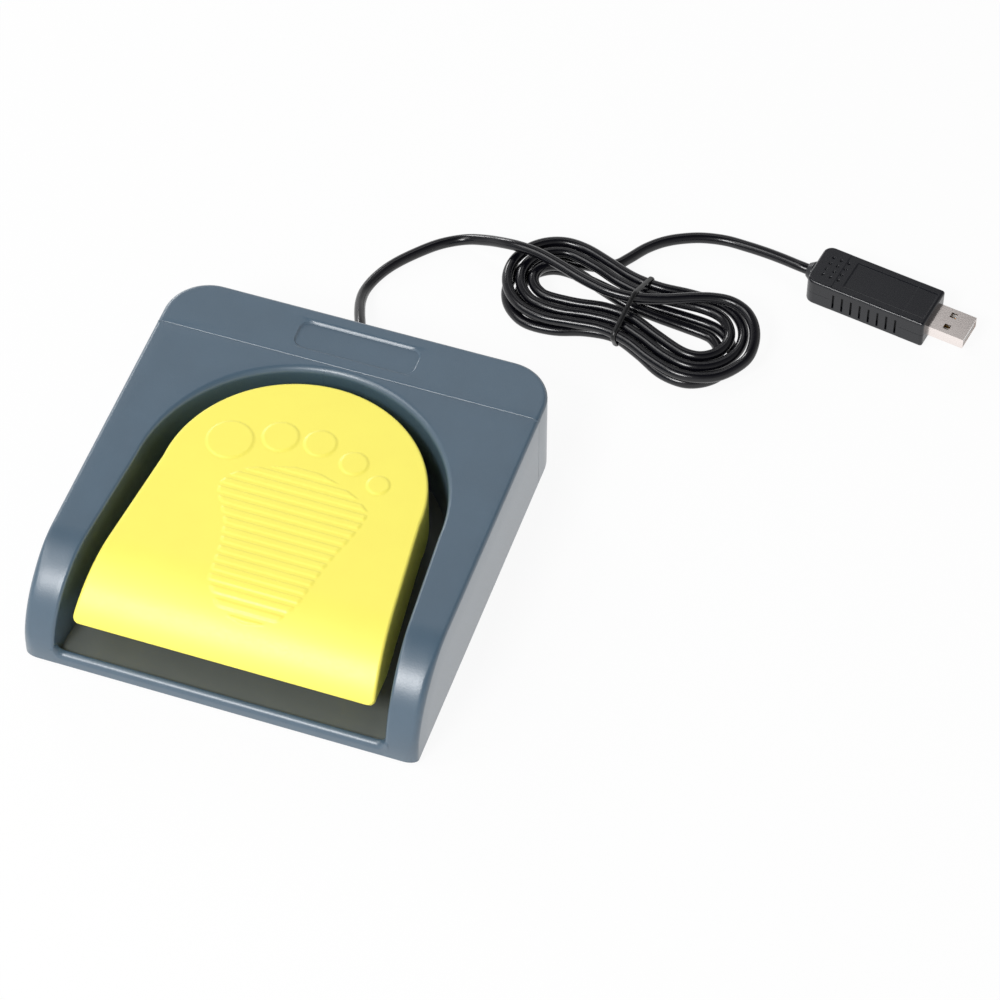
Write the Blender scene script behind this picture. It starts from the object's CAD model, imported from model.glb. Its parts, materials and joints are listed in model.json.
# %% [markdown]
# # A foot pedal switch, dressed for the camera
# The solids of the pedal come from the CAD model and are the fixed frame of this scene. The cells below
# add what the eye sees on the real thing: rounded moulded edges, the footprint relief, the cable that is
# tied in a hank, and the finish of every material. Lengths are written in millimetres, as on a drawing,
# and turned to metres where a mesh is made.

# %% Load the frame
import json
import bpy
import numpy as np
from mathutils import Matrix


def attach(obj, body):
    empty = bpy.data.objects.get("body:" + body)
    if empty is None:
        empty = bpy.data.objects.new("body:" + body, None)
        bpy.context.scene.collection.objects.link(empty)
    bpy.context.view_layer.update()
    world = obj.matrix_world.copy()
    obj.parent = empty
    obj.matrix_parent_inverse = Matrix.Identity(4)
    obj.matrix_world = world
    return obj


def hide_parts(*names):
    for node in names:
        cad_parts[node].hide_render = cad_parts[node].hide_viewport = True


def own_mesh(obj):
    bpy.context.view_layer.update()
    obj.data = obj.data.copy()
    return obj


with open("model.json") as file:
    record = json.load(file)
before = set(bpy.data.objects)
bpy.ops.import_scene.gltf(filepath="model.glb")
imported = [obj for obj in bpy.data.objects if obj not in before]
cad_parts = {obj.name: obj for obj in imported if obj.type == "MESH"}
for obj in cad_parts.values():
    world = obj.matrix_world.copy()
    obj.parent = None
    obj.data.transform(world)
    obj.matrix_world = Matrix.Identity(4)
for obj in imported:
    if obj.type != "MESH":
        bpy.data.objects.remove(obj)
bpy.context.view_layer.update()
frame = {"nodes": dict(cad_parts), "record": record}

nodes = frame["nodes"]
scene = bpy.context.scene
MM = 0.001

# %% [markdown]
# ## The camera
# The photograph was taken from the front right, looking down at about 52 degrees with a long lens. A
# camera could be aimed by a constraint, but three axes worked out from three angles keep it exact: right,
# up and back are the columns of its matrix.

# %% Camera
turn, tilt, roll = np.radians([18.83, 51.57, 0.11])
back = np.array([np.sin(turn) * np.cos(tilt), -np.cos(turn) * np.cos(tilt), np.sin(tilt)])
right = np.array([np.cos(turn), np.sin(turn), 0.0])
up = np.cross(back, right)
right, up = right * np.cos(roll) + up * np.sin(roll), up * np.cos(roll) - right * np.sin(roll)
camera = bpy.data.objects.new("camera", bpy.data.cameras.new("camera"))
scene.collection.objects.link(camera)
camera.data.sensor_width = 36
camera.data.lens = 144
camera.data.clip_start, camera.data.clip_end = 0.05, 50
place = np.eye(4)
place[:3, :3] = np.column_stack([right, up, back])
place[:3, 3] = [0.3375, -0.7741, 1.0860]
camera.matrix_world = Matrix(place.tolist())
scene.camera = camera
print("camera looks along", np.round(-back, 3))

# %% [markdown]
# ## The way of the cable
# The cable is one length of round black PVC, four millimetres thick. It leaves the back of the housing,
# rises over its own hank, is folded into loops in two layers, and runs on to the plug. A hank could be
# simulated, but a formula keeps the loops apart: each half turn is a straight run, drawn in at the waist
# by the tie, and then a half circle. The loops spiral in on top and out again below.

# %% The hank's formula
CORD_D, BACK_Y = 4.0, 74.0
HANK_AT, HANK_TURN = (75.6, BACK_Y + 60.2), np.radians(-9.0)
RUN_HALF, TIGHT_R, LOOP_STEP, WAIST_DIP, LOW_SHIFT = 28.0, 7.9, 4.85, 5.1, 2.5
LAYER, HALF_TURNS, RUN_SHARE, WAIST_LIFT, CROSS_SHIFT, OFF_FLOOR = 4.6, 6, 0.42, 1.15, 1.0, 0.05
HANK_FROM, HANK_TO, HANK_POINTS = 0.84, 9.99, 117


def ease(t):
    """Half a cosine wave, from 0 at t = 0 to 1 at t = 1."""
    return 0.5 - 0.5 * np.cos(np.pi * np.clip(t, 0, 1))


def hank_point(t):
    """Point of the hank at half turn t. The radius of a loop grows by half a step for each half turn away
    from the middle one. On a run u goes from end to end and the strand is drawn in by the dip times the
    squared cosine of u; on a fold it goes round half a circle. At the middle half turn the strand steps
    aside and drops to the lower layer, whose folds lie a little to the front of the upper ones."""
    t = np.atleast_1d(np.asarray(t, float))
    k = np.floor(t)
    f, s = t - k, np.where(k % 2 == 0, 1.0, -1.0)
    r = TIGHT_R + LOOP_STEP / 2 * np.abs(t - HALF_TURNS)
    u = RUN_HALF * (2 * f / RUN_SHARE - 1)
    waist = np.where(f < RUN_SHARE, np.cos(np.pi / 2 * u / RUN_HALF) ** 2, 0)
    a = np.pi * (f - RUN_SHARE) / (1 - RUN_SHARE)
    along = s * np.where(f < RUN_SHARE, u, RUN_HALF + r * np.sin(a))
    aside = s * np.where(f < RUN_SHARE, r - WAIST_DIP * waist, r * np.cos(a))
    lowered = ease((t - HALF_TURNS) / RUN_SHARE)
    aside = aside + CROSS_SHIFT * (1 - 2 * ease((t - HALF_TURNS) / (1 - RUN_SHARE) + 1))
    aside = aside - LOW_SHIFT * (1 - waist) * lowered
    z = CORD_D / 2 + OFF_FLOOR + WAIST_LIFT * waist + LAYER * (1 - lowered)
    c, n = np.cos(HANK_TURN), np.sin(HANK_TURN)
    x, y = HANK_AT
    return np.column_stack([x + along * c - aside * n, y + along * n + aside * c, z])


def through(points, cuts=6):
    """A smooth way through hand-chosen points: between b and c, with neighbours a and d, each span is the
    cubic whose slopes at b and c are half of c - a and half of d - b."""
    p = np.asarray(points, float)
    a, b, c = np.vstack([p[:1], p[:-2]]), p[:-1], p[1:]
    d = np.vstack([p[2:], p[-1:]])
    t = (np.arange(cuts) / cuts)[None, :, None]
    a, b, c, d = (q[:, None, :] for q in (a, b, c, d))
    square, cube = 2 * a - 5 * b + 4 * c - d, 3 * b - a - 3 * c + d
    spans = 0.5 * (2 * b + (c - a) * t + square * t**2 + cube * t**3)
    return np.vstack([spans.reshape(-1, 3), p[-1:]])


# %% The free stretches
hank = hank_point(np.linspace(HANK_FROM, HANK_TO, HANK_POINTS))
GLAND = np.array([-9.0, BACK_Y, 10.0])
PEAK = 12.7
lead_by_eye = np.array([
    [-10.9, 19, 9], [-14, 26.8, 6.8], [-16.3, 33.9, 4.5], [-17.2, 41.1, 2.7], [-15.7, 48.8, 2.1],
    [-12, 56.5, 2.1], [-5.9, 64.6, 2.1], [0.9, 71.6, 2.1], [9.1, 75.6, 3.2], [17.4, 75, 6.4],
    [25.3, 72.6, 10.2], [32.1, 71.1, 12.1], [39.6, 69.6, PEAK], [48.1, 66.9, PEAK], [58, 63.2, PEAK],
    [68, 60.8, PEAK], [78, 60.8, PEAK], [88, 63.4, PEAK], [97, 67.2, 12.6], [104.5, 69.8, 12.5],
    [111.5, 70.4, 12.3], [117.8, 68, 11.7], [122.2, 62.8, 10.6], [124, 56, 9.2], [122.9, 49.2, 7.6],
]) + [0, BACK_Y, 0]
tail_by_eye = np.array([
    [58.2, 79.4, 2.1], [64.4, 82.6, 2.1], [68, 87.2, 2.1], [72.2, 93.6, 2.1], [77.3, 98.8, 2.1],
    [83.3, 102.6, 2.1], [90.5, 105.5, 2.1], [98.8, 106.8, 2.2], [107.1, 106, 2.8], [114.6, 104.5, 3.8],
    [121.4, 102.5, 5],
]) + [0, BACK_Y, 0]
PLUG_TURN = np.radians(-9.6)
PLUG_WAY = np.array([np.cos(PLUG_TURN), np.sin(PLUG_TURN), 0])
PLUG_FRONT = np.array([180.7, BACK_Y + 91.6, 0])
PLUG_L, PLUG_W, PLUG_H, COLLAR_L, COLLAR_GAP = 46.8, 18.9, 11.8, 2.8, 0.2
tail_end = PLUG_FRONT + [0, 0, PLUG_H / 2] - (PLUG_L + COLLAR_L + COLLAR_GAP) * PLUG_WAY
cable_way = through(np.vstack([
    GLAND, GLAND + [0, 7, 0], GLAND + [0, 12, -0.1], lead_by_eye, hank, tail_by_eye,
    tail_end - CORD_D * PLUG_WAY, tail_end]))

# %% [markdown]
# ## The cable as one curve
# A round section on a curve is the shortest way to a cable. The bevel is one metre, and each point's radius
# scales it down to the cable's own, so that the box that Blender keeps round the curve is right too.

# %% Cable
curve = bpy.data.curves.new("cable", "CURVE")
curve.dimensions = "3D"
curve.bevel_depth = 1.0
curve.bevel_resolution = 7
curve.use_fill_caps = True
spline = curve.splines.new("POLY")
spline.points.add(len(cable_way) - 1)
spline.points.foreach_set("co", np.insert(cable_way * MM, 3, 1, axis=1).ravel())
spline.points.foreach_set("radius", np.full(len(cable_way), CORD_D / 2 * MM))
spline.use_smooth = True
cable = bpy.data.objects.new("cable", curve)
scene.collection.objects.link(cable)
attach(cable, "base")
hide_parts("cable_lead", "cable_hank", "cable_tail")
print("cable made, replaces its three CAD stretches")

# %% [markdown]
# ## Finishes
# Every finish starts from its real material. One function turns a written sRGB colour to the linear
# values that the renderer works with, and one adds a node, fills its sockets and links what is linked.
# Patterns read Object coordinates, which are metres here, so a grain of 0.4 mm is a scale of 1 / 0.0004.

# %% Colour and node helpers
def linear(hex_colour):
    """sRGB hex to linear red, green and blue: the foot of the curve is a line, the rest a power."""
    c = np.array([int(hex_colour[i:i + 2], 16) for i in (1, 3, 5)]) / 255
    return np.where(c <= 0.04045, c / 12.92, ((c + 0.055) / 1.055) ** 2.4)


def add(tree, kind, inputs=None, **settings):
    """Adds one node with its settings; an input that is a socket is linked, any other value is set."""
    made = tree.nodes.new(kind)
    for name, value in settings.items():
        setattr(made, name, value)
    for name, value in (inputs or {}).items():
        if isinstance(value, bpy.types.NodeSocket):
            tree.links.new(value, made.inputs[name])
        else:
            made.inputs[name].default_value = value
    return made


DRIFT_MM, ROUGH_SWAY, COAT_ROUGH = 14, 0.12, 0.35


def moulded(name, colour, rough, grain_mm, depth_mm, ior=1.53, mottle=0.04, metallic=0.0,
            stretch=(1, 1, 1), coat=0.0):
    """A finish with a fine grain: noise of that size in millimetres lifts the surface by the depth and sways
    its roughness a little. A wider noise lets the colour drift by the share that mottle says. A coat is the
    glossy skin of a moulding, which mirrors a pale floor at a flat angle."""
    material = bpy.data.materials.new(name)
    material.use_nodes = True
    tree = material.node_tree
    tree.nodes.clear()
    where = add(tree, "ShaderNodeTexCoord").outputs["Object"]
    if stretch != (1, 1, 1):
        where = add(tree, "ShaderNodeMapping", {"Vector": where, "Scale": stretch}).outputs["Vector"]
    noise = {"Vector": where, "Scale": 1 / (grain_mm * MM), "Detail": 2.0}
    grain = add(tree, "ShaderNodeTexNoise", noise).outputs["Fac"]
    noise = {"Vector": where, "Scale": 1 / (DRIFT_MM * MM), "Detail": 3.0}
    wide = add(tree, "ShaderNodeTexNoise", noise).outputs["Fac"]
    ramp = add(tree, "ShaderNodeValToRGB", {"Fac": wide})
    for stop, at, share in zip(ramp.color_ramp.elements, (0.3, 0.7), (1 - mottle, 1 + mottle)):
        stop.position, stop.color = at, (*np.clip(linear(colour) * share, 0, 1), 1)
    sheen = add(tree, "ShaderNodeMapRange", {
        "Value": grain, "From Min": 0.3, "From Max": 0.7,
        "To Min": rough * (1 - ROUGH_SWAY), "To Max": min(rough * (1 + ROUGH_SWAY), 1)})
    bump = add(tree, "ShaderNodeBump", {"Height": grain, "Strength": 1.0, "Distance": depth_mm * MM})
    look = {"Base Color": ramp.outputs["Color"], "Roughness": sheen.outputs["Result"],
            "Normal": bump.outputs["Normal"], "Metallic": metallic}
    if not metallic:
        look["IOR"] = ior
    if coat:
        look |= {"Coat Weight": coat, "Coat Roughness": COAT_ROUGH, "Coat Normal": bump.outputs["Normal"]}
    shader = add(tree, "ShaderNodeBsdfPrincipled", look)
    add(tree, "ShaderNodeOutputMaterial", {"Surface": shader.outputs["BSDF"]})
    return material


# %% [markdown]
# ## The finishes of this pedal
# The housing is ABS moulded in a spark-eroded tool: a slate grey with a fine even grain that breaks up
# the highlight on the round front of the rails. The treadle is smoother ABS in a warm yellow. The cable's
# jacket is extruded PVC, almost black and glossy; the plug is black ABS with a finer grain. The grains of
# a real tool are finer than a pixel here, so they are drawn as coarse as they need to be to show.

# %% Plastics
finish = {
    "shell_abs": moulded("abs_slate_grey_moulded", "#445B6D", 0.38, 0.5, 0.03, coat=1.0),
    "base_abs": moulded("abs_grey_moulded_base", "#666B68", 0.4, 0.5, 0.015),
    "treadle_abs": moulded("abs_yellow_moulded", "#FFF36A", 0.4, 0.6, 0.004, mottle=0.012),
    "cable_pvc": moulded("pvc_black_extruded", "#08080F", 0.22, 1.2, 0.0008, ior=1.52, mottle=0.08),
    "tie_plastic": moulded("pvc_black_coated_wire", "#0D0D0F", 0.34, 0.5, 0.006, ior=1.52, mottle=0.08),
    "plug_abs": moulded("abs_black_moulded", "#0C0E16", 0.28, 0.3, 0.004, mottle=0.06),
    "switch_plastic": moulded("pbt_black_moulded", "#26282B", 0.45, 0.4, 0.01),
    "plunger_plastic": moulded("acetal_red_moulded", "#B03A2E", 0.35, 0.4, 0.004),
    "wire_pvc": moulded("pvc_red_extruded", "#C0392B", 0.35, 0.5, 0.004),
    "tongue_plastic": moulded("pbt_white_moulded", "#EDEDEB", 0.4, 0.3, 0.004),
    "board_laminate": moulded("glass_epoxy_green_mask", "#1F5A35", 0.35, 0.7, 0.01),
    "chip_epoxy": moulded("epoxy_black_moulded", "#17181A", 0.55, 0.2, 0.006),
    "ceramic_parts": moulded("ceramic_tan_fired", "#A88A5C", 0.5, 0.3, 0.004),
    "rubber": moulded("rubber_black_moulded", "#1C1C1E", 0.75, 0.4, 0.03, ior=1.52),
}
print("plastics:", len(finish))

# %% [markdown]
# ## Metals
# The plug's shell is folded steel with a bright nickel plate: its long streaks come from rolling, so the
# grain is drawn out along one axis. Springs, pin and screws are duller. A metal keeps the default IOR.

# %% Metals
finish.update({
    "nickel_steel": moulded("nickel_plated_steel_rolled", "#F6EDE9", 0.2, 0.5, 0.002, metallic=1.0,
                            stretch=(0.12, 1, 1)),
    "zinc_steel": moulded("zinc_plated_steel", "#B9BCC0", 0.34, 0.4, 0.004, metallic=1.0),
    "bright_steel": moulded("ground_steel", "#C4C6C8", 0.28, 0.4, 0.003, metallic=1.0, stretch=(1, 0.15, 1)),
    "spring_steel": moulded("drawn_spring_steel", "#8E9093", 0.36, 0.5, 0.004, metallic=1.0),
    "brass": moulded("stamped_brass", "#C9A25A", 0.32, 0.4, 0.003, metallic=1.0),
    "gold_plate": moulded("gold_plated_contact", "#D8B25C", 0.25, 0.3, 0.002, metallic=1.0),
})
for row in frame["record"]["subparts"]:
    shown = nodes[row["node"]]
    shown.data.materials.clear()
    shown.data.materials.append(finish[row["material_slot"]])
cable.data.materials.append(finish["cable_pvc"])
print("finishes:", len(finish))

# %% [markdown]
# ## From a grid of points to a closed piece
# Every new piece is a grid: a closed loop of points, the cross-section, carried from station to station.
# The quads between neighbours are the skin, and the first and last loops are closed by one face each. The
# volume that the skin encloses tells which way its faces point, and they are turned if it is negative.

# %% Grid to mesh
def skin(rows, cols, round_trip=False):
    """Quads of a grid whose columns close on themselves, and whose rows do so too on a round trip."""
    i = np.arange(rows if round_trip else rows - 1)[:, None]
    j = np.arange(cols)[None, :]
    k, n = (j + 1) % cols, (i + 1) % rows
    return np.stack([i * cols + j, i * cols + k, n * cols + k, n * cols + j], axis=-1).reshape(-1, 4)


def piece(name, grid, slot, body, replaces=(), round_trip=False, smooth_deg=32):
    """A closed mesh from a grid of points in millimetres, with its finish, its body and what it replaces."""
    rows, cols = grid.shape[:2]
    points = grid.reshape(-1, 3) * MM
    quads = skin(rows, cols, round_trip)
    ends = [] if round_trip else [np.arange(cols)[::-1], np.arange((rows - 1) * cols, rows * cols)]
    fans = [np.column_stack([np.full(cols - 2, e[0]), e[1:-1], e[2:]]) for e in ends]
    a, b, c = points[np.vstack([quads[:, :3], quads[:, [0, 2, 3]]] + fans)].transpose(1, 0, 2)
    volume = np.einsum("ij,ij->", a, np.cross(b, c)) / 6
    faces = quads.tolist() + [e.tolist() for e in ends]
    if volume < 0:
        faces = [f[::-1] for f in faces]
    mesh = bpy.data.meshes.new(name)
    mesh.from_pydata(points.tolist(), [], faces)
    mesh.validate()
    made = bpy.data.objects.new(name, mesh)
    scene.collection.objects.link(made)
    mesh.materials.append(finish[slot])
    mesh.polygons.foreach_set("use_smooth", np.ones(len(mesh.polygons), bool))
    mesh.set_sharp_from_angle(angle=np.radians(smooth_deg))
    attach(made, body)
    if replaces:
        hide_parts(*replaces)
    print(name, "faces:", len(mesh.polygons), "volume in cm3:", round(abs(volume) * 1e6, 2))
    return made


def round_edge(radius, count):
    """Distance from an edge and drop below the face, along a quarter circle from the wall to the face."""
    a = np.linspace(0, np.pi / 2, count)
    return radius * (1 - np.cos(a)), radius * (1 - np.sin(a))


def edge_drop(d, r):
    """Drop below the face at distance d from an edge that is rounded by a quarter circle of radius r."""
    d = np.clip(d, 0, r)
    return r - np.sqrt(np.maximum(r**2 - (r - d) ** 2, 0))


# %% [markdown]
# ## The upper shell
# On the real pedal the shell is one moulding: two rails that round down to the floor in front, joined by
# an arch behind. It could be cut from a block with bevels, but a section carried along the arch gives
# clean fillets: a wide one at the back of the well, narrow ones on the rails and outside. Each section has
# an outer wall, a top and an inner wall, and a hollow inside. In front, the sections open round the nose
# like the ribs of a fan.

# %% Sizes of the shell
HALF_W, TOP, BASE, FLOOR = 70.0, 35.8, 1.5, 4.0
NOSE_R, NOSE_Y, NOSE_Z, FRONT_Y, FRONT_R = 32.0, -42.0, 3.8, -74.0, 2.5
WELL_R, WELL_Y, WELL_FLARE, WELL_BACK = 54.1, -6.3, 0.07, 1.0
SEAM_Y, SEAM_GAP, SEAM_EDGE, SEAM_SHARE, WALL = 51.6, 0.14, 0.6, 0.1, 2.2
RIM_R, RIM_FRONT, RIM_RAIL, EDGE_R, EDGE_MORE, ROOF = 2.4, 0.02, 0.5, 1.5, 0.6, 2.6
LATCH_W, LATCH_GAP, LATCH_Z = 14.5, 0.05, 18.0
RIM, EDGE = round_edge(RIM_R, 11), round_edge(EDGE_R, 8)
WALL_STEPS, TOP_STEPS = (0.33, 0.66, 1.0), (0.8, 0.6, 0.4, 0.2)
print("shell in mm:", 2 * HALF_W, "wide,", BACK_Y - FRONT_Y, "deep with its cover,", TOP, "high")


def section(outer_deep, inner_deep, rim_share, edge_share, roof):
    """One row for each station: place between the walls (0 inner, 1 outer), inset from the inner and from
    the outer wall, and depth. The loop goes up the outer wall, over the top, down the inner wall and back
    through the hollow. The shares make the rounded rim and edge of a station smaller or larger."""
    one, zero = np.ones(len(outer_deep)), np.zeros(len(outer_deep))
    rim, edge, wall = RIM_R * rim_share, EDGE_R * edge_share, WALL * one
    out = [(one, zero, zero, edge + (outer_deep - edge) * s) for s in WALL_STEPS[::-1]]
    out += [(one, zero, d * edge_share, f * edge_share) for d, f in zip(*EDGE)]
    out += [(one * t, rim, edge, zero) for t in TOP_STEPS]
    out += [(zero, d * rim_share, zero, f * rim_share) for d, f in zip(RIM[0][::-1], RIM[1][::-1])]
    out += [(zero, zero, zero, rim + (inner_deep - rim) * s) for s in WALL_STEPS]
    out += [(zero, wall, zero, inner_deep), (zero, wall, zero, np.minimum(roof, inner_deep)),
            (one, zero, wall, np.minimum(roof, outer_deep)), (one, zero, wall, outer_deep)]
    return [np.stack(c, axis=1) for c in zip(*out)]


def well_half(y):
    """Half width of the well in front of its arch: it widens steadily to the front."""
    return WELL_R + WELL_FLARE * (WELL_Y - y)


def arch_well(swing):
    """Radius of the well's arch: a circle that grows a little to the back, by the swing's squared sine."""
    return WELL_R + WELL_BACK * np.sin(swing) ** 2


def body_half(y):
    """Half width of the body: straight, and a quarter circle at the front corner."""
    inset = np.clip(FRONT_Y + FRONT_R - y, 0, FRONT_R)
    return HALF_W - FRONT_R + np.sqrt(FRONT_R**2 - inset**2)


# %% The rails
LOW_N, FAN_N, FLAT_N = 4, 44, 10
ROW_GAP, NOSE_DEEP = 0.05, NOSE_R - 0.03  # no two rows meet, and the fan stops short of its middle
RIM_FROM_Z, RIM_OVER, EDGE_FROM_Y, EDGE_OVER = 4.5, 7, -48, 14
low = np.linspace(BASE, NOSE_Z - ROW_GAP, LOW_N)
fan = np.linspace(np.pi / 2, 0, FAN_N)
flat_y = np.linspace(NOSE_Y + ROW_GAP, WELL_Y, FLAT_N)
rail_y = np.concatenate([np.full(LOW_N, FRONT_Y), NOSE_Y - NOSE_R * np.sin(fan), flat_y])
rail_z = np.concatenate([low, NOSE_Z + NOSE_R * np.cos(fan), np.full(FLAT_N, TOP)])
out_y = np.concatenate([np.full(LOW_N, -1.0), -np.sin(fan), np.zeros(FLAT_N)])
out_z = np.concatenate([np.zeros(LOW_N), np.cos(fan), np.ones(FLAT_N)])
outer_deep = np.repeat([NOSE_DEEP, NOSE_DEEP, TOP - BASE], [LOW_N, FAN_N, FLAT_N])
inner_deep = np.repeat([WALL + 0.1, NOSE_DEEP, TOP - FLOOR], [LOW_N, FAN_N, FLAT_N])
rail_rim = RIM_FRONT + (RIM_RAIL - RIM_FRONT) * ease((rail_z - RIM_FROM_Z) / RIM_OVER)
rail_edge = 1.0 + EDGE_MORE * ease((EDGE_FROM_Y - rail_y) / EDGE_OVER)
t, from_in, from_out, deep = section(
    outer_deep, inner_deep, rail_rim, rail_edge, np.full(len(rail_y), ROOF))
y = rail_y[:, None] - deep * out_y[:, None]
z = rail_z[:, None] - deep * out_z[:, None]
x = (1 - t) * (well_half(y) + from_in) + t * (body_half(y) - from_out)
rail = np.stack([x, y, z], axis=-1)
print("stations of a rail:", len(rail), "points in a section:", rail.shape[1])

# %% The arch
SIDE_N, BACK_N, BRIDGE_N = 30, 34, 8
RIM_BRIDGE, RIM_SWING, CORNER_STEP = 0.05, 0.9, 0.002
LATCH_AT, TO_SEAM = WELL_R + 2, SEAM_Y - SEAM_GAP / 2 - WELL_Y
corner = np.arctan2(TO_SEAM, HALF_W)
slit = np.pi / 2 - np.arcsin((LATCH_W / 2 + LATCH_GAP) / LATCH_AT)
swing = np.concatenate([np.linspace(0, corner, SIDE_N), np.linspace(corner + CORNER_STEP, slit, BACK_N),
                        np.linspace(slit, np.pi / 2, BRIDGE_N)])
station = np.arange(len(swing))
side, bridge = station < SIDE_N, station >= SIDE_N + BACK_N
skew = 1 / np.cos(np.where(side, swing, 0))
reach = np.where(side, HALF_W * skew, TO_SEAM / np.sin(np.where(side, 1, swing)))
reach = np.where(bridge, arch_well(swing) + WALL, reach)
top_z = np.where(bridge, LATCH_Z - LATCH_GAP, TOP)
arch_roof = np.where(bridge, top_z - FLOOR, ROOF)
arch_rim = np.where(bridge, RIM_BRIDGE, RIM_RAIL + (1 - RIM_RAIL) * ease(swing / RIM_SWING))
t, from_in, from_out, deep = section(
    np.where(side, TOP - BASE, arch_roof), top_z - FLOOR, arch_rim, np.where(side, 1.0, SEAM_SHARE), arch_roof)
most = np.where(bridge, WALL / 2, np.inf)[:, None]
from_in, from_out = np.minimum(from_in, most), np.minimum(from_out, most)


def round_arch(r, swing, z):
    """Points at radius r and angle swing round the well's middle, at height z."""
    return np.stack([r * np.cos(swing)[:, None], WELL_Y + r * np.sin(swing)[:, None], z], axis=-1)


r = (1 - t) * (arch_well(swing)[:, None] + from_in) + t * (reach[:, None] - from_out * skew[:, None])
half = np.vstack([rail, round_arch(r, swing, top_z[:, None] - deep)[1:]])
shell = np.vstack([half, half[::-1][1:] * [-1, 1, 1]])
piece("housing_shell", shell, "shell_abs", "base", ["upper_shell"])

# %% [markdown]
# ## The sill and the latch tongue
# A low sill closes the front of the well: a bar with a wide round in front and a narrow one behind, that
# rises in a small round where it meets the rails. Its front is flush with them, as in one moulding. The
# rear cover holds on by a tongue that lies in the shell's arch and has the same section, but is shorter.

# %% Sill
SILL_HALF, SILL_H, SILL_T, SILL_BACK = 60, 6.4, 2.8, 0.02
RIDGE_R, INNER_R = 2.45, 3.5
along_sill = np.linspace(-SILL_HALF, SILL_HALF, 121)
rise = edge_drop(well_half(FRONT_Y) - np.abs(along_sill), INNER_R)
a = np.linspace(np.pi, 0, 17)
bow = np.where(np.cos(a) < 0, RIDGE_R, SILL_T - RIDGE_R)
behind = np.concatenate([[0], RIDGE_R + bow * np.cos(a), [SILL_T, SILL_T]])
drop = np.concatenate([[0], bow * (1 - np.sin(a)), [0, 0]])
ridge = np.concatenate([[0], np.ones(len(a)), [0.3, 0]])
sill_z = BASE + (SILL_H + rise[:, None] - BASE) * ridge - drop
sill = np.stack(np.broadcast_arrays(along_sill[:, None], FRONT_Y + SILL_BACK + behind, sill_z), axis=-1)
piece("housing_sill", sill, "shell_abs", "base")

# %% Latch tongue
spread = np.arcsin(LATCH_W / 2 / LATCH_AT)
swing = np.linspace(np.pi / 2 - spread, np.pi / 2 + spread, 17)
one = np.ones(len(swing))
t, from_in, from_out, deep = section(ROOF * one, (TOP - LATCH_Z) * one, one, SEAM_SHARE * one, ROOF * one)
reach = TO_SEAM / np.sin(swing)
r = (1 - t) * (arch_well(swing)[:, None] + from_in) + t * (reach[:, None] - from_out)
piece("rear_cover_tongue", round_arch(r, swing, TOP - deep), "shell_abs", "base")

# %% [markdown]
# ## The rear cover
# The cover is a shallow cap with rounded back corners and a sunk plain panel. It could be a bevelled box
# with a cut in it, but loops give every edge its own round. They run from the middle of the panel outwards:
# floor, sloped wall, top, rounded edge, outer wall, and back underneath. The height of the top depends only
# on how far a point is from the outer edge and from the seam.

# %% Outline of the cover
BACK_R, SIDE_STEPS, BACK_STEPS = 16.0, 5, 14
front = SEAM_Y + SEAM_GAP / 2
bend = np.linspace(0, np.pi / 2, 20)
edge_x = HALF_W - np.concatenate([EDGE[0], [4, 9]])
seam_x = np.concatenate([edge_x, np.linspace(58, 0, 14)])
right_seam = np.column_stack([seam_x[::-1], np.full(len(seam_x), front)])
right_side = np.column_stack([np.full(SIDE_STEPS, HALF_W), np.linspace(front, BACK_Y - BACK_R, SIDE_STEPS)])
bend_out = np.column_stack([np.cos(bend), np.sin(bend)])[1:]
right_bend = [HALF_W - BACK_R, BACK_Y - BACK_R] + BACK_R * bend_out
right_back = np.column_stack([np.linspace(HALF_W - BACK_R, 0, BACK_STEPS), np.full(BACK_STEPS, BACK_Y)])[1:]
outline = np.vstack([right_seam, right_side, right_bend, right_back])
inward = np.vstack([np.tile([0.0, 1.0], (len(right_seam), 1)), np.tile([-1.0, 0.0], (len(right_side), 1)),
                    -bend_out, np.tile([0.0, -1.0], (len(right_back), 1))])
is_seam = np.arange(len(outline)) < len(right_seam)
print("points in half the cover's outline:", len(outline))

# %% Outline of the sunk panel
PANEL_W, PANEL_L, PANEL_R, PANEL_DEEP, PANEL_Y, PANEL_SLOPE = 44.6, 12.3, 4.0, 0.9, 62.4, 0.6
RAY_SHARE, SPINE_X = 0.33, 17


def rounded_panel(direction, inset):
    """Where a ray from the panel's middle meets its edge, or a line that far inside it: the straight edges
    first, and the circle of the corner where the ray would pass both."""
    far, r = np.array([PANEL_W, PANEL_L]) / 2 - inset, PANEL_R - inset
    k = np.min(far / np.maximum(np.abs(direction), 1e-9), axis=1)
    p = direction * k[:, None]
    c = np.sign(direction) * (far - r)
    in_corner = np.all(np.abs(p) > far - r, axis=1)
    b = (direction * c).sum(1)
    root = np.sqrt(np.maximum(b**2 - (c**2).sum(1) + r**2, 0))
    return np.where(in_corner[:, None], direction * (b + root)[:, None], p)


goal = np.column_stack([np.clip(outline[:, 0] * RAY_SHARE, 0, PANEL_W / 2), outline[:, 1] - PANEL_Y])
goal[:, 1] = np.where(is_seam, -PANEL_L / 2, goal[:, 1] * PANEL_L / 2 / (BACK_Y - PANEL_Y))
ray = goal / np.linalg.norm(goal, axis=1, keepdims=True)
lip, lip_in = (rounded_panel(ray, inset) + [0, PANEL_Y] for inset in (0, PANEL_SLOPE))
spine = np.column_stack([np.clip(lip[:, 0], -SPINE_X, SPINE_X), np.full(len(lip), PANEL_Y)])
print("panel in mm:", PANEL_W, "by", PANEL_L, "and", PANEL_DEEP, "deep")

# %% Top of the cover
LIP_SHARES, LIP_DROP, LIP_RISE = [0.55, 0.8, 0.92, 1.0], 0.18, 0.12


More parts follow.
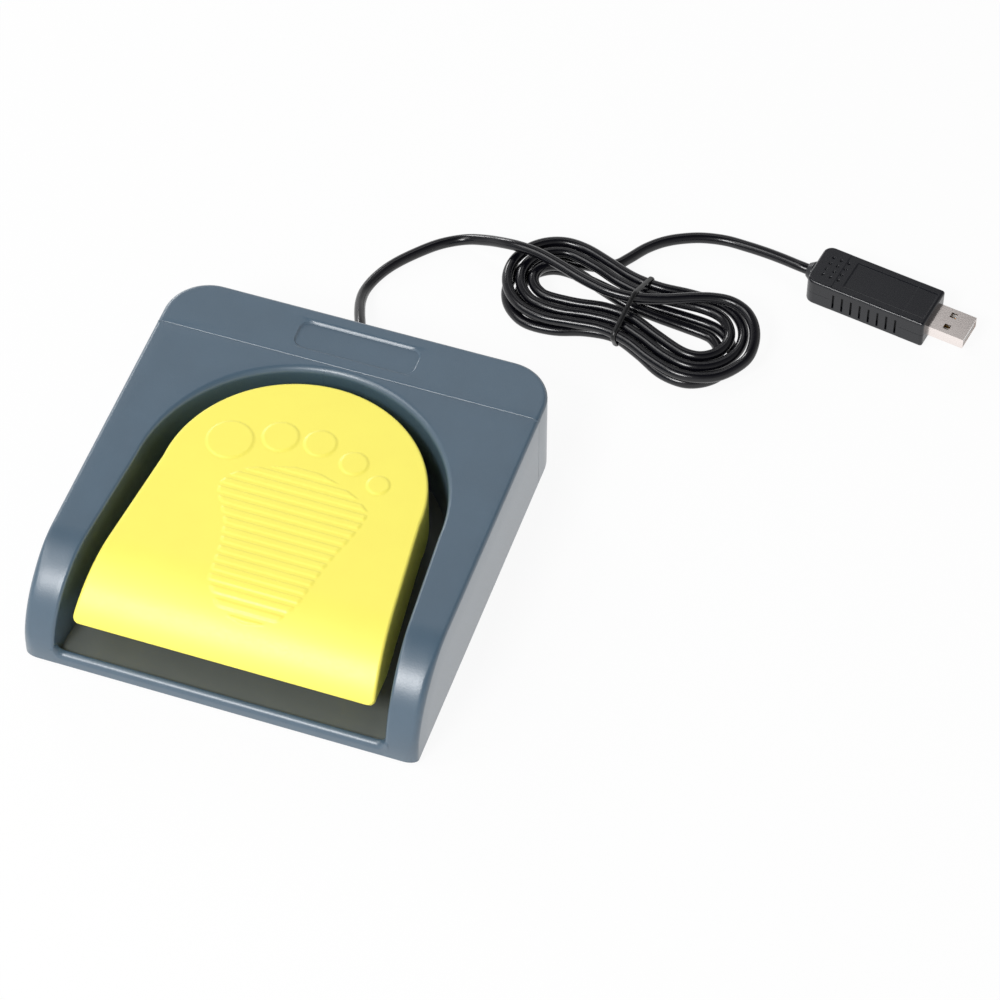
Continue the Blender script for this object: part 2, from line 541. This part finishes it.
def cover_top(p):
    """Height of the cover's top: level, less the drop of the rounded edges where the outer edge or the seam
    is near. Round a back corner, the distance to the edge is measured from the middle of its circle."""
    x, y = np.abs(p[..., 0]), p[..., 1]
    past_x, past_y = x - HALF_W + BACK_R, y - BACK_Y + BACK_R
    turning = (past_x > 0) & (past_y > 0)
    d = np.where(turning, BACK_R - np.hypot(past_x, past_y), np.minimum(HALF_W - x, BACK_Y - y))
    return TOP - edge_drop(d, EDGE_R) - edge_drop(y - front, SEAM_EDGE)


across = ((lip - outline) * inward).sum(1)
steps = np.concatenate([EDGE[0], [EDGE_R * 1.6]])
share = np.column_stack([np.minimum(steps / across[:, None], 1), np.tile(LIP_SHARES, (len(lip), 1))])
share = np.maximum.accumulate(share, axis=1)
top_plan = outline[:, None] + (lip - outline)[:, None] * share[..., None]
top = np.dstack([top_plan, cover_top(top_plan)])
top[:, -1, 2] -= LIP_DROP
low_z = np.where(is_seam, TOP - ROOF, BASE)
inner_seam = np.column_stack([np.clip(outline[:, 0], 0, HALF_W - WALL), outline[:, 1]])
inner_edge = np.where(is_seam[:, None], inner_seam, outline + WALL * inward)
print("loops on the cover's top:", top.shape[1])

# %% Cover
sunk_z, wall_top = TOP - PANEL_DEEP, top[:, 0, 2]


def level(plan, z):
    """Plan points at one height, or at one height each, as a column of the grid."""
    return np.column_stack([plan, np.broadcast_to(z, len(plan))])[:, None]


half = np.concatenate([
    level(spine, sunk_z), level((spine + lip_in) / 2, sunk_z), level(lip_in, sunk_z),
    level(lip_in * 0.8 + lip * 0.2, sunk_z + LIP_RISE), top[:, ::-1],
    level(outline, wall_top * 0.5 + low_z * 0.5), level(outline, low_z), level(inner_edge, low_z),
    level(inner_edge, TOP - ROOF), level(spine, TOP - ROOF)], axis=1)
cover = np.vstack([half, half[::-1][1:-1] * [-1, 1, 1]])
piece("housing_rear_cover", cover, "shell_abs", "base", ["rear_cover"], round_trip=True)

# %% [markdown]
# ## The treadle
# The treadle is a moulded plate with turned-down sides, an arch behind and a round front. It could be
# subdivided from a cage, but its relief needs an even, fine grid: rows run across it, closer where the
# outline turns, and every point is lowered near the edge and lifted on the footprint. Rows are set to the
# ribs' spacing, so that every rib has the same flanks. A notch in the back wall clears the cable.

# %% Outline and height of the treadle
TREAD_H, TREAD_R, TREAD_Y, TREAD_FLARE, TREAD_FRONT = 34.3, 46.2, -2.2, 0.11, -69.0
TNOSE_R, TNOSE_Y, TREAD_T, SKIRT_Z, LIP_Z = 36.5, -40.0, 2.4, 14.0, 20.0
TREAD_EDGE, LIP_EDGE, CORNER_R, CORNER_STEEP = 1.0, 0.9, 2.6, 1.5
RIB_STEP, ROWS_PER_RIB = 3.92, 10
TNOSE_Z = TREAD_H - TNOSE_R
apex = TREAD_Y + TREAD_R


def treadle_half(y, inset=0.0):
    """Half width of the treadle: a flare in front of the arch's centre, the arch behind it, and a small
    round at the two front corners."""
    r = TREAD_R - inset
    arch_part = np.sqrt(np.maximum(r**2 - np.maximum(y - TREAD_Y, 0) ** 2, 0))
    flare_part = TREAD_FLARE * np.maximum(TREAD_Y - y, 0)
    c = np.clip(CORNER_R - (y - TREAD_FRONT) * CORNER_STEEP, 0, CORNER_R)
    return arch_part + flare_part - CORNER_R + np.sqrt(CORNER_R**2 - c**2)


first = TREAD_FRONT + np.array([0, 0.15, 0.4, 0.8, 1.3, 1.9])
even = np.arange(TREAD_FRONT + 2.4, apex - 2.2, RIB_STEP / ROWS_PER_RIB)
last = np.linspace(np.arcsin((even[-1] + 0.4 - TREAD_Y) / TREAD_R), np.pi / 2, 14)
rows = np.concatenate([first, even, TREAD_Y + TREAD_R * np.sin(last)])
rows[-1] -= 0.002  # the last row keeps a little width
lean = np.arcsin(np.clip((TNOSE_Y - rows) / TNOSE_R, 0, 1))
tread_z = np.where(rows < TNOSE_Y, TNOSE_Z + TNOSE_R * np.cos(lean), TREAD_H)
print("treadle rows:", len(rows))

# %% [markdown]
# ## The footprint
# Five toes and a ribbed sole stand a little proud of the treadle, so that a foot finds it. A picture could
# push the surface up, but a few sizes in millimetres give cleaner edges: a middle and a radius for each toe,
# and the left and right edge of the sole at some places along it.

# %% Footprint
RIB_W, RIB_AT, RIB_H, RIB_FLANK, TOE_H, RELIEF_FLANK = 2.2, -2.45, 0.34, 0.55, 0.4, 0.9
TOES = np.array([[-27, 10.7, 8], [-11.1, 17.4, 6.2], [2.7, 19, 5.5], [16.5, 14.4, 4.8], [27.4, 8.3, 3.8]])
SOLE = np.array([
    [7.7, 3.2, 3.2], [4, -10.6, 15.3], [0.4, -17.9, 22.9], [-4, -21.8, 28.1], [-8, -23.5, 28],
    [-12, -22.4, 27.3], [-16, -19.7, 26.2], [-22.6, -15.9, 24.3], [-31, -13.8, 22.1], [-39.3, -13, 20.8],
    [-46.8, -12.2, 19.3], [-54, -6.8, 15.1], [-56.4, -1.9, 10.4], [-57.6, 4, 4]])
OUTSIDE = 999


def flank(d, width):
    """1 inside an outline and 0 outside, along a flank of that width: d is the distance in from it."""
    return ease(d / width + 0.5)


def footprint(x, y):
    """Height of the relief: five low discs for the toes, and for the sole ribs across it, each a flat band
    with short flanks, cut off where the sole's outline ends."""
    d = np.min(np.hypot(x[..., None] - TOES[:, 0], y[..., None] - TOES[:, 1]) - TOES[:, 2], axis=-1)
    left, right = (np.interp(-y, -SOLE[:, 0], edge, OUTSIDE, OUTSIDE) for edge in SOLE[:, 1:].T)
    from_rib = np.abs((y - RIB_AT + RIB_STEP / 2) % RIB_STEP - RIB_STEP / 2)
    rib = flank(RIB_W / 2 - from_rib, RIB_FLANK)
    inside = flank(np.minimum(x - left, right - x), RELIEF_FLANK)
    return np.maximum(TOE_H * flank(-d, RELIEF_FLANK), RIB_H * rib * inside)


print("toes:", len(TOES), "length of the sole in mm:", round(np.ptp(SOLE[:, 0]), 1))


# %% Face of the treadle
COLS, FRONT_ZONE = 290, 3
g = np.sin(np.pi / 2 * np.linspace(-1, 1, COLS))
w = treadle_half(rows)
x = w[:, None] * g[None, :]
y = np.repeat(rows[:, None], COLS, 1)
d_arch = TREAD_R - np.hypot(x, np.maximum(y - TREAD_Y, 0)) + TREAD_FLARE * np.maximum(TREAD_Y - y, 0)
d_corner = np.where(y > TREAD_FRONT + FRONT_ZONE, np.inf, w[:, None] - np.abs(x))
d_side = np.minimum(np.maximum(d_arch, 0), d_corner)
d_front = (y - TREAD_FRONT) * CORNER_STEEP
deep = edge_drop(d_side, TREAD_EDGE) + edge_drop(d_front, LIP_EDGE) - footprint(x, y)
face = np.dstack([x, y + deep * np.sin(lean)[:, None], tread_z[:, None] - deep * np.cos(lean)[:, None]])
print("points on the treadle's face:", face.shape[0] * face.shape[1])

# %% Underside of the treadle
FOOT_Y, THIN, NARROW = [-66, -52], 0.4, 0.001
NOTCH_FROM, NOTCH_TO, NOTCH_Z = 5.0, 13.0, 19.6
foot_z = np.minimum(np.interp(rows, FOOT_Y, [LIP_Z, SKIRT_Z]), face[:, 0, 2] - 0.3)
hollow = rows < apex - TREAD_T
w_in = np.where(hollow, treadle_half(rows, TREAD_T), 0.0)
w_in = np.clip(w_in, NARROW, np.maximum(w - THIN, NARROW))
under_z = np.where(hollow, tread_z - TREAD_T / np.maximum(np.cos(lean), 0.5), foot_z)
under_z = np.maximum(under_z, foot_z)
cut_in, cut_out = (np.clip(v, w_in, w) for v in (NOTCH_FROM, NOTCH_TO))
in_notch = cut_out - cut_in > 1e-6
cut_z = np.where(in_notch, NOTCH_Z, foot_z)
cut_in_z = np.where(w_in > NOTCH_FROM, cut_z, foot_z)
cut_out_z = np.where(w < NOTCH_TO, cut_z, foot_z)
print("rows that the notch cuts:", in_notch.sum())


# %% Treadle
def under(x, z):
    """Column of points under the treadle, one for each row."""
    return np.column_stack([x, face[:, 0, 1], z])[:, None]


def skirt(top_point, foot, share):
    """Column of points down one side of the treadle, that share of the way from its edge to its foot."""
    return under(top_point[:, 0], top_point[:, 2] * (1 - share) + foot * share)


loop = np.concatenate(
    [skirt(face[:, 0], cut_out_z, s) for s in WALL_STEPS[::-1]] + [face]
    + [skirt(face[:, -1], foot_z, s) for s in WALL_STEPS] + [under(w_in, foot_z)]
    + [under(w_in * s, under_z) for s in (1, 0.5, 0, -0.5, -1)]
    + [under(-w_in, cut_in_z), under(-cut_in, cut_in_z), under(-cut_in, cut_z), under(-cut_out, cut_z),
       under(-cut_out, cut_out_z)], axis=1)
piece("treadle_plate", loop, "treadle_abs", "treadle", ["treadle"], smooth_deg=50)

# %% [markdown]
# ## The treadle's eyes
# Under the plate two eyes turn on the steel pin. They could be cylinders joined to boxes, but one loop does
# for both: a ray from the pin's middle meets a circle below and a straight-sided web above, and the bore is
# the inner loop.

# %% Eyes
PIN_Y, PIN_Z, EYE_R, EYE_T, EYE_X, EYE_EDGE, WEB_TOP, BORE_R = -50.0, 13.0, 5.0, 5.0, 36.0, 0.3, 18.0, 2.05
a = np.radians(np.arange(0, 360, 5.0))[:, None]
to_side = EYE_R / np.maximum(np.abs(np.cos(a)), 1e-6)
to_top = WEB_TOP / np.maximum(np.sin(a), 1e-6)
far = np.where(np.sin(a) > 0, np.minimum(to_side, to_top), EYE_R)
bore = np.full_like(far, BORE_R)
out = np.hstack([bore, far - EYE_EDGE, far, far, far - EYE_EDGE, bore])
for side, hand in ((1, "right"), (-1, "left")):
    x0, x1 = sorted((side * EYE_X, side * (EYE_X + EYE_T)))
    across = np.array([x0, x0, x0 + EYE_EDGE, x1 - EYE_EDGE, x1, x1]) + 0 * a
    ring = np.dstack([across, PIN_Y + out * np.cos(a), PIN_Z + out * np.sin(a)])
    piece(f"treadle_eye_{hand}", ring, "treadle_abs", "treadle", round_trip=True)

# %% [markdown]
# ## The return springs
# Two steel springs under the toes push the treadle up. They could stay as the CAD has them, but a spring
# shortens: as meshes they can be squashed towards their seats as the treadle goes down. The wire is a small
# circle carried along a helix, square to it: one direction points away from the axis, the other is the
# cross product of that and the way of the wire.

# %% Springs
COIL_R, WIRE_R, COILS, COIL_STEPS = 3.95, 0.55, 7, 28
SPRING_X, SPRING_Y, SEAT_Z, SPRING_L, PRESSED = 24.0, 14.0, 4.15, 27.6, 0.82
a = np.linspace(0, 2 * np.pi * COILS, COIL_STEPS * COILS + 1)[:, None, None]
away = np.concatenate([np.cos(a), np.sin(a), 0 * a], axis=2)
climb = (SPRING_L - 2 * WIRE_R) / a.max()
way = np.concatenate([-COIL_R * np.sin(a), COIL_R * np.cos(a), climb + 0 * a], axis=2)
way = way / np.hypot(COIL_R, climb)
middle = COIL_R * away + (SEAT_Z + WIRE_R + climb * a) * [0, 0, 1]
b = np.radians(np.arange(0, 360, 36.0))[None, :, None]
wire = middle + WIRE_R * (np.cos(b) * away + np.sin(b) * np.cross(way, away))
for side, hand in ((1, "right"), (-1, "left")):
    foot = np.array([side * SPRING_X, SPRING_Y, 0])
    spring = piece(f"return_spring_{hand}", wire + foot, "spring_steel", "base", ["return_springs"],
                   smooth_deg=60)
    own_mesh(spring)

# %% [markdown]
# ## The plug's housing
# Two black halves meet at mid height. They could be bevelled boxes with cuts, but a grid carries the fine
# relief as well. Each is a pan made of rows across the plug, with rounded corners, a rounded edge and a
# wall. The upper one has a sunk plain panel and twelve small grip dimples. Eight slots on each side run
# across the joint. The lower half is the same pan upside down.

# %% Rows across the plug
REAR_R, TIP_R, PLUG_EDGE, PLUG_WALL = 3.4, 1.2, 1.0, 1.5
SLOT_STEP, SLOT_W, SLOT_DEEP, SLOT_FROM, SLOTS = 3.5, 0.8, 1.2, 11.1, 8
PLUG_COLS, HAIR = 109, 0.01


def plug_half_width(s):
    """Half width of the plug at s behind its front: quarter circles at the front and rear corners."""
    a = np.clip(TIP_R - s, 0, TIP_R)
    b = np.clip(s - PLUG_L + REAR_R, 0, REAR_R)
    return PLUG_W / 2 - TIP_R - REAR_R + np.sqrt(TIP_R**2 - a**2) + np.sqrt(REAR_R**2 - b**2)


slot_mid = PLUG_L - SLOT_FROM - SLOT_W / 2 - SLOT_STEP * np.arange(SLOTS)
slot_ends = slot_mid[:, None] + np.outer([-1, 1], [SLOT_W / 2 - HAIR, SLOT_W / 2 + HAIR]).ravel()
ease_in = 1 - np.cos(np.linspace(0, np.pi / 2, 8))
rows = np.concatenate([TIP_R * ease_in, np.arange(1.4, PLUG_L - REAR_R, 0.2), PLUG_L - REAR_R * ease_in[::-1],
                       slot_ends.ravel()])
rows = np.unique(np.round(np.clip(rows, 0.004, PLUG_L - 0.004), 4))
in_slot = np.abs(rows[:, None] - slot_mid).min(1) < SLOT_W / 2
g = np.sin(np.pi / 2 * np.linspace(-1, 1, PLUG_COLS))
w = plug_half_width(rows)
px, ps = w[:, None] * g[None, :], np.repeat(rows[:, None], PLUG_COLS, 1)
d_edge = np.minimum(w[:, None] - np.abs(px), np.minimum(ps, PLUG_L - ps))
b_x, b_s = np.abs(px) - (PLUG_W / 2 - REAR_R), ps - (PLUG_L - REAR_R)
d_edge = np.where((b_x > 0) & (b_s > 0), REAR_R - np.hypot(b_x, b_s), d_edge)
print("rows across the plug:", len(rows), "of them in slots:", in_slot.sum())

# %% Relief of the plug
SUNK_HALF_W, SUNK_HALF_L, SUNK_MID, SUNK_FLANK, SUNK_DEEP = 6.3, 15.8, 17.3, 0.35, 0.15
GRIP_STEP, GRIP_FROM, GRIP_R, GRIP_FLANK, GRIP_DEEP = 3, 36, 0.45, 0.4, 0.7
in_panel = np.minimum(SUNK_HALF_W - np.abs(px), SUNK_HALF_L - np.abs(ps - SUNK_MID))
grip_x, grip_s = np.meshgrid(GRIP_STEP * (np.arange(4) - 1.5), GRIP_FROM + GRIP_STEP * np.arange(3))
to_grip = np.hypot(px[..., None] - grip_x.ravel(), ps[..., None] - grip_s.ravel()).min(axis=-1)
plug_relief = SUNK_DEEP * flank(in_panel, SUNK_FLANK) + GRIP_DEEP * flank(GRIP_R - to_grip, GRIP_FLANK)
print("grip dimples:", grip_x.size, "deepest point in mm:", round(plug_relief.max(), 2))


# %% The two halves
PART_GAP, PART_FROM, SIDE_TOP, SLOT_TOP, SLOT_LOW = 0.05, 1.5, 4.5, 2.8, 4.0
END_W, END_H = 0.3, 0.02
UP = np.array([0, 0, 1])


def plug_pan(relief, slot_to):
    """Grid of one half, with the parting plane at z = 0: up one side, over the face, down the other and
    back inside. The slots run from the parting plane to the height slot_to."""
    h = PLUG_H / 2 - PART_GAP
    face = np.dstack([px, ps, h - edge_drop(d_edge, PLUG_EDGE) - relief])
    bite = np.where(in_slot, SLOT_DEEP, 0.0)
    marks = [(0.0, 1), (slot_to, 1), (slot_to + END_H, 0), (SIDE_TOP, 0)]
    rail = np.stack([np.column_stack([w - bite * k, rows, np.full(len(rows), z)]) for z, k in marks], axis=1)
    inside = (rows > PLUG_WALL) & (rows < PLUG_L - PLUG_WALL)
    w_in = np.maximum(np.where(inside, w - PLUG_WALL, END_W), END_W)
    roof = np.where(inside, h - PLUG_WALL, END_H)
    round_inside = ((1, 0), (1, 1), (-1, 1), (-1, 0))
    hollow = np.stack([np.column_stack([w_in * k, rows, roof * up]) for k, up in round_inside], axis=1)
    return np.concatenate([rail * [-1, 1, 1], face, rail[:, ::-1], hollow], axis=1)


def at_plug(grid, flip=1.0):
    """From the plug's own axes (across, behind the front, up from the parting plane) to the scene's. The
    halves close tightly along the slots and leave a fine line at both ends."""
    across, behind, height = np.split(grid, 3, axis=-1)
    part = PART_GAP * (np.abs(behind - slot_mid.mean()) > np.ptp(slot_mid) / 2 + PART_FROM)
    side = np.cross(UP, PLUG_WAY)
    return PLUG_FRONT + PLUG_H / 2 * UP - behind * PLUG_WAY + across * side + flip * (height + part) * UP


upper, lower = at_plug(plug_pan(plug_relief, SLOT_TOP)), at_plug(plug_pan(0, SLOT_LOW), -1.0)
plug_top = piece("plug_top_half", upper, "plug_abs", "base", ["plug_upper_shell"])
plug_low = piece("plug_low_half", lower, "plug_abs", "base", ["plug_lower_shell"])

# %% [markdown]
# ## The tie
# A plastic-coated wire is wound once round the waist of the hank. It could be drawn by hand, but the cable
# itself gives its way: where the cable crosses the tie's plane it leaves circles, and in each direction the
# tie touches the outermost one. Its section is an ellipse.

# %% Tie
TIE_T, TIE_W, TIE_U, TIE_GAP, WAIST_HALF = 0.8, 1.8, 2.4, 0.05, 20
hank_along = np.array([np.cos(HANK_TURN), np.sin(HANK_TURN), 0])
hank_aside = np.cross(UP, hank_along)
hank_middle = np.array([*HANK_AT, 0])
u, v = (cable_way - hank_middle) @ hank_along - TIE_U, (cable_way - hank_middle) @ hank_aside
cut = np.nonzero((u[:-1] * u[1:] < 0) & (np.abs(v[:-1]) < WAIST_HALF))[0]
share = (u[cut] / (u[cut] - u[cut + 1]))[:, None]
plane = np.column_stack([v, cable_way[:, 2]])
strands = plane[cut] * (1 - share) + plane[cut + 1] * share
a = np.radians(np.arange(0, 360, 3.0))
out = np.column_stack([np.cos(a), np.sin(a)])
way = strands[np.argmax(out @ strands.T, axis=1)] + (CORD_D / 2 + TIE_T / 2 + TIE_GAP) * out
b = np.radians(np.arange(0, 360, 30.0))[:, None]
ring = way[:, None] + out[:, None] * TIE_T / 2 * np.cos(b)
wide = (TIE_U + TIE_W / 2 * np.sin(b)) * hank_along
tie = hank_middle + ring[..., :1] * hank_aside + ring[..., 1:] * UP + wide
tie = piece("hank_tie", tie, "tie_plastic", "base", ["cable_tie"], round_trip=True, smooth_deg=60)
print("strands in the tie:", len(strands))

# %% [markdown]
# ## Floor and light
# A wide white floor keeps the soft shadow. The world is white at the horizon and darker overhead, as in a
# studio, so that black plastic stays black. Two broad lamps in front light the pedal. Behind it, a weak one
# is what the level faces and the plug's metal mirror, and a small low one draws a fine line along every
# strand. To the camera and in reflections most of the floor's shade is plain white, as on a light table.

# %% Floor
FLOOR_HALF, FLOOR_Z, WHITE_SHARE = 6.0, -0.0002, 0.93
floor_mesh = bpy.data.meshes.new("floor")
corners = [(x * FLOOR_HALF, y * FLOOR_HALF, FLOOR_Z) for x, y in ((-1, -1), (1, -1), (1, 1), (-1, 1))]
floor_mesh.from_pydata(corners, [], [(0, 1, 2, 3)])
floor = bpy.data.objects.new("floor", floor_mesh)
scene.collection.objects.link(floor)
white = bpy.data.materials.new("floor_white")
white.use_nodes = True
tree = white.node_tree
tree.nodes.clear()
ray = add(tree, "ShaderNodeLightPath").outputs
seen = add(tree, "ShaderNodeMath", {0: ray["Is Camera Ray"], 1: ray["Is Glossy Ray"]}, operation="MAXIMUM")
seen = add(tree, "ShaderNodeMath", {0: seen.outputs[0], 1: ray["Is Transmission Ray"]}, operation="MAXIMUM")
part = add(tree, "ShaderNodeMath", {0: seen.outputs[0], 1: WHITE_SHARE}, operation="MULTIPLY")
matt = add(tree, "ShaderNodeBsdfDiffuse", {"Color": (0.9, 0.9, 0.9, 1)})
glow = add(tree, "ShaderNodeEmission", {"Color": (1, 1, 1, 1), "Strength": 1.0})
both = add(tree, "ShaderNodeMixShader", {0: part.outputs[0], 1: matt.outputs[0], 2: glow.outputs[0]})
add(tree, "ShaderNodeOutputMaterial", {"Surface": both.outputs[0]})
floor_mesh.materials.append(white)
print("floor in m:", 2 * FLOOR_HALF)

# %% World
world = bpy.data.worlds.new("studio")
scene.world = world
world.use_nodes = True
tree = world.node_tree
tree.nodes.clear()
look = add(tree, "ShaderNodeTexCoord").outputs["Generated"]
height = add(tree, "ShaderNodeSeparateXYZ", {"Vector": look}).outputs["Z"]
shade = add(tree, "ShaderNodeValToRGB", {"Fac": height})
stops = shade.color_ramp.elements
stops.remove(stops[-1])
stops[0].position, stops[0].color = 0.1, (1, 1, 1, 1)
for at, grey in ((0.5, 0.36), (0.82, 0.22), (0.97, 0.04)):
    stops.new(at).color = (grey, grey, grey, 1)
sky = add(tree, "ShaderNodeBackground", {"Color": shade.outputs["Color"], "Strength": 1.0})
add(tree, "ShaderNodeOutputWorld", {"Surface": sky.outputs[0]})
print("steps of the sky:", len(stops))


# %% Lamps
def unit(v):
    """v at length one."""
    return v / np.linalg.norm(v)


def lamp(name, at, look_at, size, watts):
    """A square area lamp of that size in metres that faces a point."""
    light = bpy.data.lights.new(name, "AREA")
    light.size, light.energy = size, watts
    made = bpy.data.objects.new(name, light)
    scene.collection.objects.link(made)
    z = unit(np.array(at, float) - np.array(look_at, float))
    x = unit(np.cross([0.0, 1.0, 0.001], z))
    frame_of = np.eye(4)
    frame_of[:3, :3] = np.column_stack([x, np.cross(z, x), z])
    frame_of[:3, 3] = at
    made.matrix_world = Matrix(frame_of.tolist())
    print("lamp", name, "at", at, "with", watts, "W")


lamp("key", (-0.3, -0.98, 1.15), (0.02, 0.0, 0.0), 0.45, 14)
lamp("fill", (-0.8, -0.3, 1.3), (0.03, 0.0, 0.0), 0.7, 5.5)
lamp("back", (-0.22, 1.0, 1.3), (0.1, 0.1, 0.0), 0.45, 0.7)
lamp("edge", (-0.95, 1.05, 0.6), (0.08, 0.1, 0.0), 0.35, 4.5)
scene.view_settings.view_transform = "Standard"

# %% Sizes and hand over
bpy.context.view_layer.update()
